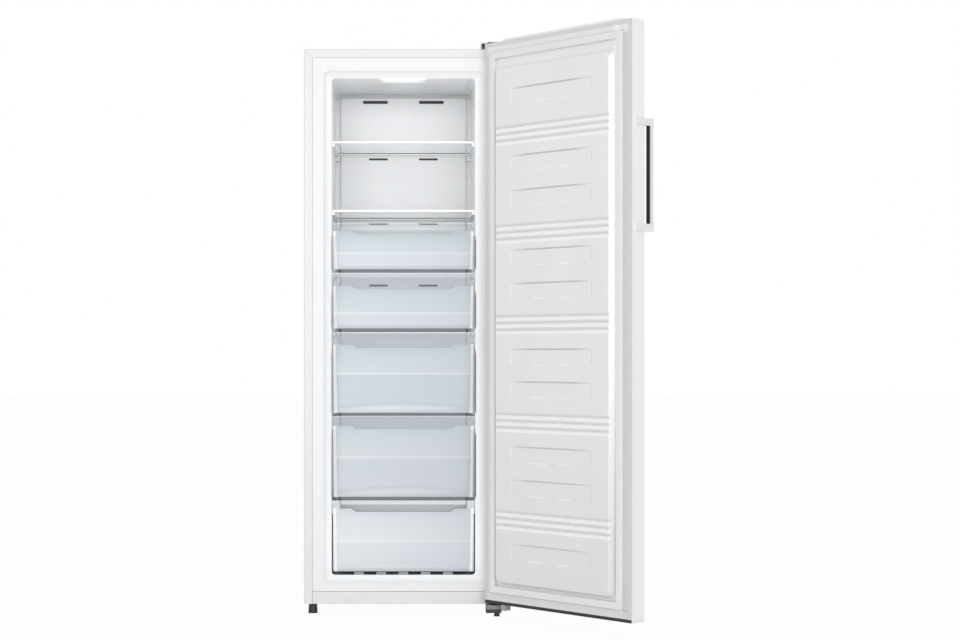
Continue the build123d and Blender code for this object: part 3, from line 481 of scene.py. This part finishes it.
def drawer_face_tones(f, bottom, top, lip, step):
    """The milky face, lightening from its lip down to the relief step, the foot under the step, a
    painted highlight on the step, and the painted highlight on the foot: the space under a
    parabola, z falling with the square of x, with painted shade along its top, both strong on the
    tall drawers, and painted shade along the foot's bottom edge. The tones of face and foot change
    with the drawer's height as painted light and shade, and all of it darkens to the right as
    painted shade."""
    # painted light and shade: the tones change with the drawer's height
    low_drawer = f.z.ramp(0.75, 0.2)
    under_lip = f.blend(low_drawer, tone(197, 207, 212), tone(217, 223, 228))
    over_step = f.blend(low_drawer, tone(214, 221, 226), tone(227, 230, 233))
    face = f.blend(f.z.ramp(lip, step), under_lip, over_step)
    # painted shade: the foot's tone changes with height
    foot_shade_by_height = f.blend(f.z.ramp(0.9, 0.75), tone(220, 226, 231), tone(202, 210, 216))
    foot = f.blend(low_drawer, foot_shade_by_height, tone(220, 225, 230))
    shade = f.blend(f.z.ramp(step + 0.0006, step - 0.0006), face, foot)
    # painted highlight on the relief step
    shade = f.blend(f.z.near(step + 0.0022, 0.0035) * 0.8, shade, tone(244, 248, 251))
    # painted highlight on the foot under a parabola, with painted shade along its top
    arc = f.z + f.x * f.x * 0.35 - 0.026 - bottom
    bowed = 1.0 if top - bottom > TALL else 0.2
    shade = f.blend(arc.near(0.004, 0.008) * (0.2 * bowed), shade, tone(176, 183, 189))
    shade = f.blend(arc.ramp(0.001, -0.012) * (0.75 * bowed), shade, tone(240, 244, 247))
    # painted shade along the foot's bottom edge
    foot_edge = f.z.ramp(bottom + 0.008, bottom + 0.002)
    shade = f.blend(foot_edge * 0.5, shade, tone(176, 183, 190))
    # painted shade to the right
    return f.blend(f.x.ramp(-0.19, 0.21) * 0.42, shade, tone(178, 184, 192))


def drawer_front(name, bottom, top, lip, step):
    """Clear smoky plastic: see-through behind and above the grip's lip and milky on the face, with
    a painted highlight down the slope at each side and painted shade beyond it, a painted highlight
    along the top rim, and dark seams beside the grip's ears. The lowest drawer is milkier."""
    f = Finish(name)
    across = f.x.size()
    above_lip = f.z.ramp(lip + 0.0004, lip + 0.0012)
    clear = f.y.ramp(FACE_Y + 0.0036, FACE_Y + 0.0046).larger(above_lip)
    shade = drawer_face_tones(f, bottom, top, lip, step)
    slope = across - (f.z - bottom) * (0.004 / (lip - bottom)) - BRIGHT_X
    # painted shade on the outer part of the side slopes
    shade = f.blend(slope.ramp(0.001, 0.005) * 0.6, shade, tone(190, 194, 206))
    # painted highlight down the side slopes
    shade = f.blend(slope.near(0.0, 0.0062) * (1.0 - clear), shade, WHITE)
    shade = f.blend(clear, shade, tone(238, 243, 248))
    # painted highlight along the top rim
    rim = f.z.ramp(top - 0.0018, top - 0.0012)
    shade = f.blend(rim, shade, tone(250, 252, 254))
    seam = across.near(0.1908, 0.0011) * above_lip
    shade = f.blend(seam, shade, tone(96, 100, 106))
    ears = across.ramp(0.1915, 0.1925) * above_lip
    face_alpha, clear_alpha = (0.76, 0.37) if bottom == LOWEST else (0.46, 0.05)
    alpha = face_alpha - clear * (face_alpha - clear_alpha)
    return f.done(
        Base_Color=shade,
        Roughness=f.uneven(0.20, 0.08, 30.0),
        Alpha=alpha + (rim + seam) * 0.3 + ears * 0.12,
        Normal=f.bump(f.noise(900.0, detail=3.0), 0.00003),
        Coat_Weight=0.2,
        Coat_Roughness=0.08,
    )


def drawer_bin(name, bottom):
    """Clear plastic walls, and painted shade on the bar across the underside: grey, and black at
    two spots near its ends, standing in for the shade in the gap under the drawer's front.
    """
    f = Finish(name)
    bar = f.z.ramp(bottom + 0.0002, bottom)
    # painted shade: grey on the bar, black near its ends
    grey = f.blend(f.x.size().near(0.190, 0.006), tone(88, 92, 98), tone(16, 17, 19))
    return f.done(
        Base_Color=f.blend(bar, tone(240, 244, 248), grey),
        Roughness=f.uneven(0.18, 0.08, 30.0),
        Alpha=bar * 0.95 + 0.05,
    )


def gap_shade_plastic(name):
    """Painted shade for the gap under a drawer's front: dark grey, and black near its two ends."""
    f = Finish(name)
    flow = f.noise(60.0, stretch=(0.2, 1, 1))
    grey = f.blend(flow, tone(92, 96, 102), tone(108, 112, 118))
    shade = f.blend(f.x.size().near(0.191, 0.0045), grey, tone(12, 13, 15))
    return f.done(Base_Color=shade, Roughness=flow * 0.1 + 0.4, Normal=f.bump(flow, 0.00005))


def lamp_lens(name):
    """Frosted lens, lit a little from within, most along its middle."""
    f = Finish(name)
    lit = f.x.size().ramp(0.078, 0.05) * f.noise(160.0).ramp(-0.3, 0.6)
    return f.done(
        Base_Color=f.blend(lit, tone(214, 217, 220), tone(250, 252, 255)),
        Roughness=0.3,
        Emission_Color=f.blend(lit, BLACK, WHITE),
        Emission_Strength=LENS_GLOW,
    )


def studio_white(name, keep):
    """A white ground. What sees it directly or by a mirror sees plain white, save for the
    share that is kept from the light and shadow that fall on it."""
    f = Finish(name)
    lit = f.wire("ShaderNodeBsdfDiffuse", {}, {"Color": (0.93, 0.93, 0.93)})
    plain = f.wire("ShaderNodeEmission", {}, {"Color": (1.0, 1.0, 1.0), "Strength": 1.0})
    factor = f.plain_sight() * (1.0 - keep)
    mixed = f.wire("ShaderNodeMixShader", {}, {0: factor, 1: lit, 2: plain})
    f.node("ShaderNodeOutputMaterial", {}, {"Surface": mixed})
    return f.material


def paint(material, *nodes):
    """Gives CAD nodes their finish."""
    for node in nodes:
        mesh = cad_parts[node].data
        mesh.materials.clear()
        mesh.materials.append(material)


# ---------------------------------------------------------------- finishes of the solids

white = enamel("white_enamel", tone(240, 240, 241))
liner = liner_plastic("liner_plastic")
trim_plastic = moulded("shelf_trim_plastic", tone(250, 251, 251), roughness=0.3, coat=0.3)
black_plastic = moulded("black_plastic", tone(34, 34, 36), roughness=0.5, grain=700.0)
grey_plastic = moulded("grey_plastic", tone(168, 170, 172), roughness=0.45)
zinc = zinc_sheet("zinc_sheet", tone(196, 198, 200))
hinge_metal = brushed("hinge_steel", tone(120, 121, 123), along=(1, 0.05, 1), roughness=0.5)
bar_metal = brushed("bar_aluminium", tone(226, 227, 229))
bracket_metal = brushed("bracket_aluminium", tone(236, 236, 237), (0.05, 1, 1), roughness=0.34)

paint(white, "cabinet_wrapper", "kick_strip", "top_hinge_cover")
paint(door_enamel("door_enamel"), "door_skin", "door_top_cap")
paint(liner, "inner_liner")
paint(door_liner_plastic("door_liner_plastic"), "door_liner")
paint(duct_cover_plastic("duct_cover_plastic"), "evaporator_cover")
paint(trim_plastic, "shelf_1_trims", "shelf_2_trims")
paint(bottom_cap_plastic("bottom_cap_plastic"), "door_bottom_cap")
paint(black_plastic, "foot_block", "handle_grip", "left_foot", "right_foot")
paint(black_plastic, "left_roller", "right_roller")
paint(black_plastic, "start_relay", "drip_tray", "fan_motor", "control_box")
paint(grey_plastic, "door_guide", "door_bushes", "fan_impeller")
paint(zinc, "rear_panel", "base_pan", "machine_room_cover")
paint(hinge_metal, "top_hinge", "bottom_hinge", "roller_brackets", "hinge_screws")
paint(bar_metal, "handle_bar")
paint(bracket_metal, "handle_brackets")
paint(poured_foam("foam", tone(226, 222, 206)), "cabinet_foam", "door_foam")
# painted shade: the air duct seen through the cover's slots is dark grey, though its foam is white
paint(moulded("foam_in_painted_shade", tone(104, 106, 109), roughness=0.8), "air_duct")
paint(enamel("black_enamel", tone(26, 26, 28), 0.4), "compressor")
paint(dulled_copper("copper"), "refrigerant_tubes", "filter_drier")
paint(brushed("fin_aluminium", tone(205, 207, 210)), "evaporator", "defrost_heater")
paint(moulded("circuit_board", tone(222, 228, 222)), "lamp_board")
paint(lamp_lens("lamp_lens"), "lamp_cover")
paint(shelf_glass("shelf_glass"), "shelf_1_glass", "shelf_2_glass")
for number, drawer in enumerate(DRAWERS, 1):
    paint(drawer_front(f"drawer_{number}_front_plastic", *drawer), f"drawer_{number}_front")
    paint(drawer_bin(f"drawer_{number}_bin_plastic", drawer[0]), f"drawer_{number}_bin")


# ---------------------------------------------------------------- new pieces


def surface(name, grid, around, along, material):
    """A mesh from a grid of points, closed around and along where asked. Points that meet at a
    pole or a seam are joined, the faces are turned outwards, and edges sharper than 0.6 radians
    stay sharp."""
    rows, columns = grid.shape[:2]
    index = np.arange(rows * columns).reshape(rows, columns)
    i = np.arange(rows if around else rows - 1)
    j = np.arange(columns if along else columns - 1)
    a, b = np.meshgrid(i, j, indexing="ij")
    c, d = (a + 1) % rows, (b + 1) % columns
    faces = np.stack([index[a, b], index[c, b], index[c, d], index[a, d]], -1).reshape(-1, 4)
    mesh = bpy.data.meshes.new(name)
    mesh.from_pydata(grid.reshape(-1, 3).tolist(), [], faces.tolist())
    edit = bmesh.new()
    edit.from_mesh(mesh)
    bmesh.ops.remove_doubles(edit, verts=edit.verts, dist=1e-6)
    bmesh.ops.dissolve_degenerate(edit, edges=edit.edges, dist=1e-7)
    bmesh.ops.recalc_face_normals(edit, faces=edit.faces)
    edit.to_mesh(mesh)
    edit.free()
    mesh.polygons.foreach_set("use_smooth", np.ones(len(mesh.polygons), bool))
    mesh.set_sharp_from_angle(angle=0.6)
    mesh.materials.append(material)
    piece = bpy.data.objects.new(name, mesh)
    bpy.context.scene.collection.objects.link(piece)
    return piece


def joined(name, pieces):
    """One piece from several that ride together."""
    edit = bmesh.new()
    for piece in pieces:
        edit.from_mesh(piece.data)
    edit.to_mesh(pieces[0].data)
    edit.free()
    for piece in pieces[1:]:
        bpy.data.objects.remove(piece)
    pieces[0].name = name
    return pieces[0]


def turned(name, radius, height, at, axis, material, sides=40, ripple=0.0):
    """A profile turned about an axis: point (i, j) is at radius i, angle j and height i. A ripple
    makes the radius swell and shrink as a cosine of six times the angle."""
    angle = np.linspace(0.0, 2 * np.pi, sides, endpoint=False)
    swell = 1.0 + ripple * np.cos(6 * angle)
    ring = np.stack([np.cos(angle) * swell, np.sin(angle) * swell], -1)
    flat = np.asarray(radius)[:, None, None] * ring[None]
    rise = np.broadcast_to(np.asarray(height)[:, None], flat.shape[:2])
    order = {"z": (0, 1, 2), "y": (0, 2, 1)}[axis]
    grid = np.stack([flat[..., 0], flat[..., 1], rise], -1)[..., order] + np.array(at)
    return surface(name, grid, False, True, material)


def rounded_square(points, power):
    """A rounded square's two coordinates at even angles: the cosine and the sine, each with its
    size raised to a power below one."""
    angle = np.linspace(0.0, 2 * np.pi, points, endpoint=False)
    ring = np.stack([np.cos(angle), np.sin(angle)])
    return np.sign(ring) * np.abs(ring) ** power


def swung(points):
    """Turns points of the closed door about the hinge pins to its open place."""
    cos, sin = np.cos(OPEN_ANGLE), np.sin(OPEN_ANGLE)
    x, y = points[..., 0] - PIN_X, points[..., 1] - PIN_Y
    return np.stack([x * cos - y * sin + PIN_X, x * sin + y * cos + PIN_Y, points[..., 2]], -1)


def seal_profile():
    """Half across, then mirrored: a waist whose side swells twice as a cosine of its height, under
    a head that is a rounded box, the square roots of |cos| and |sin| of a turning angle, with a
    shallow bell-shaped groove along its crown."""
    fold = np.linspace(0.0, 1.0, 11)
    waist = np.stack([0.0058 + 0.0013 * np.cos(4 * np.pi * fold), 0.0056 * fold], -1)
    turn = np.linspace(-1.1, np.pi / 2, 13)
    across = SEAL_W / 2 * np.sqrt(np.abs(np.cos(turn)))
    rise = 0.0085 + 0.0029 * np.sign(np.sin(turn)) * np.sqrt(np.abs(np.sin(turn)))
    head = np.stack([across, rise - 0.0007 * np.exp(-((across / 0.0025) ** 2))], -1)
    half = np.concatenate([waist, head])
    mirrored = half[-2::-1] * np.array([-1.0, 1.0])
    return np.concatenate([half, mirrored])


def door_seal(material):
    """The seal's profile carried round the door's frame and mitred at the corners: a point of
    the profile follows a rectangle that is larger by its distance outwards."""
    across, rise = seal_profile().T
    half = SEAL_HALF - SEAL_W / 2 + across
    low, high = SEAL_Z[0] + SEAL_W / 2 - across, SEAL_Z[1] - SEAL_W / 2 + across
    corners = np.stack([
        np.stack([-half, low], -1),
        np.stack([half, low], -1),
        np.stack([half, high], -1),
        np.stack([-half, high], -1),
    ], 1)
    share = np.linspace(0.0, 1.0, 8, endpoint=False)[:, None]
    following = np.roll(corners, -1, axis=1)
    sides = [corners[:, n, None] * (1 - share) + following[:, n, None] * share for n in range(4)]
    path = np.concatenate(sides, 1)
    depth = np.broadcast_to(INNER_Y + rise[:, None], path.shape[:2])
    points = swung(np.stack([path[..., 0], depth, path[..., 1]], -1))
    return surface("door_seal", points, True, True, material)


def compressor_grommets(material):
    """Four ribbed rubber posts under the foot plate: the radius swells three times as a cosine of
    the height, with flat ends."""
    low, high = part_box("compressor_mounts")[0][2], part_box("compressor_mounts")[1][2]
    share = np.linspace(0.0, 1.0, 25)
    ribs = 0.0098 + 0.0014 * np.cos(6 * np.pi * share)
    radius = np.concatenate([[0.0], ribs, [0.0]])
    height = np.concatenate([[low], low + (high - low) * share, [high]])
    x, y = COMPRESSOR
    posts = []
    for side_x in (-1, 1):
        for side_y in (-1, 1):
            at = (x + side_x * POST_X, y + side_y * POST_Y, 0.0)
            posts.append(turned("post", radius, height, at, "z", material))
    return joined("compressor_grommets", posts)


def inlet_grommet(material):
    """A flanged grommet in the rear cover with an open bore: the turned profile is a closed loop
    round the wall, with half an ellipse for the flange's rim and a taper at the inner end."""
    bend = np.linspace(0.0, np.pi, 9)
    rim = np.stack([0.0127 + 0.0013 * np.sin(bend), 0.0036 + 0.0029 * np.cos(bend)], -1)
    outer = np.array([[0.0101, 0.0005], [0.0101, -0.0048], [0.0086, -0.0064], [0.0054, -0.0064]])
    bore = np.array([[0.0043, -0.0054], [0.0043, 0.0052], [0.0054, 0.0064]])
    radius, height = np.concatenate([rim, outer, bore, rim[:1]]).T
    return turned("inlet_grommet", radius, height, INLET, "y", material)


def drawer_clips(number, lip, material):
    """The catches at both ends of the grip: a rounded square, the eighth power of x and z summing
    to one, lofted back with a step, and a lug above it."""
    round_x, round_z = rounded_square(32, 0.25)
    scale = np.array([0.0, 0.55, 0.62, 0.92, 1.0, 1.0, 0.0])[:, None]
    depth = FACE_Y + np.array([0.0046, 0.0046, 0.0062, 0.0062, 0.0068, 0.0092, 0.0092])
    catch, lug = (lip + 0.008, 0.0058, 0.0052), (lip + 0.019, 0.0032, 0.0040)
    clips = []
    for side in (-1, 1):
        for middle, half_x, half_z in (catch, lug):
            x = side * 0.1975 + half_x * scale * round_x
            z = middle + half_z * scale * round_z
            y = np.broadcast_to(depth[:, None], x.shape)
            clips.append(surface("clip", np.stack([x, y, z], -1), False, True, material))
    return joined(f"drawer_{number}_clips", clips)


def drawer_gap_shade(number, bottom, below, material):
    """A dark strip under a drawer's front, down to just above the next drawer, as painted shade in
    the
    gap: a rounded section, the fifth power of y and z summing to one, carried across and drawn in
    at its ends."""
    round_y, round_z = rounded_square(24, 0.4)
    low, high = below + 0.0013, bottom - 0.0004
    along = np.linspace(-1.0, 1.0, 33)
    full = (1.0 - np.abs(along) ** 60) * 0.12 + 0.88
    along, full = np.pad(along, 1, "edge"), np.pad(full, 1)[:, None]
    x = np.broadcast_to((0.2040 * along)[:, None], (len(along), len(round_y)))
    y = FACE_Y + 0.0072 + 0.0026 * full * round_y
    z = (low + high) / 2 + (high - low) / 2 * full * round_z
    grid = np.stack([x, y, z], -1)
    return surface(f"drawer_{number}_rail", grid, False, True, material)


def rear_screws(material):
    """Flanged hexagon screws along the rear cover and the rear panel: a turned flange under a
    turned head, the head's radius swelling as a cosine of six times the angle."""
    flange = [0.0, 0.0055, 0.0055, 0.0042, 0.0], [-0.002, -0.002, 0.0006, 0.001, 0.001]
    head = [0.0, 0.0036, 0.0036, 0.0030, 0.0], [0.0, 0.0, 0.0024, 0.003, 0.0031]
    cover_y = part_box("machine_room_cover")[1][1]
    panel_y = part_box("rear_panel")[1][1] - 0.002
    cover_heights, panel_heights = (0.060, 0.150, 0.240), (0.300, 0.700, 1.100, 1.500, 1.670)
    places = [(x, cover_y, z) for x in (-0.280, 0.280) for z in cover_heights]
    places += [(x, panel_y, z) for x in (-0.285, 0.285) for z in panel_heights]
    screws = []
    for at in places:
        screws.append(turned("flange", *flange, at, "y", material))
        screws.append(turned("head", *head, at, "y", material, sides=36, ripple=0.05))
    return joined("rear_screws", screws)


seal_rubber = rubber("grey_seal", tone(253, 253, 253))
black_rubber = rubber("black_rubber", tone(30, 30, 31))
clip_plastic = moulded("clip_plastic", tone(140, 144, 152), roughness=0.3)
screw_zinc = brushed("screw_zinc", tone(190, 191, 193), roughness=0.34)
gap_shade_finish = gap_shade_plastic("gap_shade_plastic")

seal = door_seal(seal_rubber)
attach(seal, "door")
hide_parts("door_gasket")

grommets = compressor_grommets(black_rubber)
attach(grommets, "cabinet")
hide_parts("compressor_mounts")

inlet = inlet_grommet(black_rubber)
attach(inlet, "cabinet")
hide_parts("mains_inlet")

screws = rear_screws(screw_zinc)
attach(screws, "cabinet")

for number, (_, _, lip, _) in enumerate(DRAWERS, 1):
    clips = drawer_clips(number, lip, clip_plastic)
    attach(clips, f"drawer_{number}")

# dark strips that stand in for the shade in the gaps between the drawers
for number, (upper, lower) in enumerate(zip(DRAWERS, DRAWERS[1:]), 1):
    shade_strip = drawer_gap_shade(number, upper[0], lower[1], gap_shade_finish)
    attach(shade_strip, f"drawer_{number}")


# ---------------------------------------------------------------- studio and camera


def ground():
    """A flat sheet, 60 m wide, under and behind everything."""
    corners = np.array([(-30, -30, 0), (30, -30, 0), (30, 30, 0), (-30, 30, 0)], float)
    mesh = bpy.data.meshes.new("studio_floor")
    mesh.from_pydata(corners.tolist(), [], [(0, 1, 2, 3)])
    floor = bpy.data.objects.new("studio_floor", mesh)
    bpy.context.scene.collection.objects.link(floor)
    mesh.materials.append(studio_white("studio_white", 0.04))


def soft_lamp(name, place, target, size, power):
    """A soft box of a width and a height that looks at a point."""
    lamp = bpy.data.lights.new(name, "AREA")
    lamp.shape = "RECTANGLE"
    lamp.size, lamp.size_y = size
    lamp.energy = power
    box = bpy.data.objects.new(name, lamp)
    box.location = place
    direction = Vector(target) - Vector(place)
    box.rotation_euler = direction.to_track_quat("-Z", "Y").to_euler()
    bpy.context.scene.collection.objects.link(box)


def world_light(strength):
    """White to the eye and to mirrors, and a weaker even light on everything."""
    world = bpy.data.worlds.new("studio")
    bpy.context.scene.world = world
    w = Nodes(world)
    level = w.plain_sight() * (1.0 - strength) + strength
    sky = w.wire("ShaderNodeBackground", {}, {"Color": (1.0, 1.0, 1.0), "Strength": level})
    w.node("ShaderNodeOutputWorld", {}, {"Surface": sky})


def camera():
    """The photograph's viewpoint, level, with the frame shifted as the picture is cropped."""
    lens = bpy.data.cameras.new("camera")
    lens.sensor_width = SENSOR
    lens.lens = FOCAL_PX / IMAGE_W * SENSOR
    lens.shift_x = (IMAGE_W / 2 - CENTRE_PX[0]) / IMAGE_W
    lens.shift_y = (CENTRE_PX[1] - IMAGE_H / 2) / IMAGE_W
    view = bpy.data.objects.new("camera", lens)
    view.location = CAMERA_AT
    view.rotation_euler = (np.pi / 2, 0.0, 0.0)
    bpy.context.scene.collection.objects.link(view)
    bpy.context.scene.camera = view


ground()
world_light(0.60)
soft_lamp("key", (0.6, -12.5, 1.3), (0.0, -0.2, 0.85), (11.0, 6.0), 650.0)
under_lens, below_lens = (0.0, FRONT + 0.069, 1.601), (0.0, FRONT + 0.07, 1.0)
soft_lamp("lamp_in_ceiling", under_lens, below_lens, (0.13, 0.055), 0.03)
at_opening, inside = (0.0, FRONT - 0.003, FILL_Z), (0.0, FRONT + 1.0, FILL_Z)
soft_lamp("fill_at_opening", at_opening, inside, (0.44, 1.5), 0.8)
camera()
bpy.context.scene.view_settings.view_transform = "Standard"
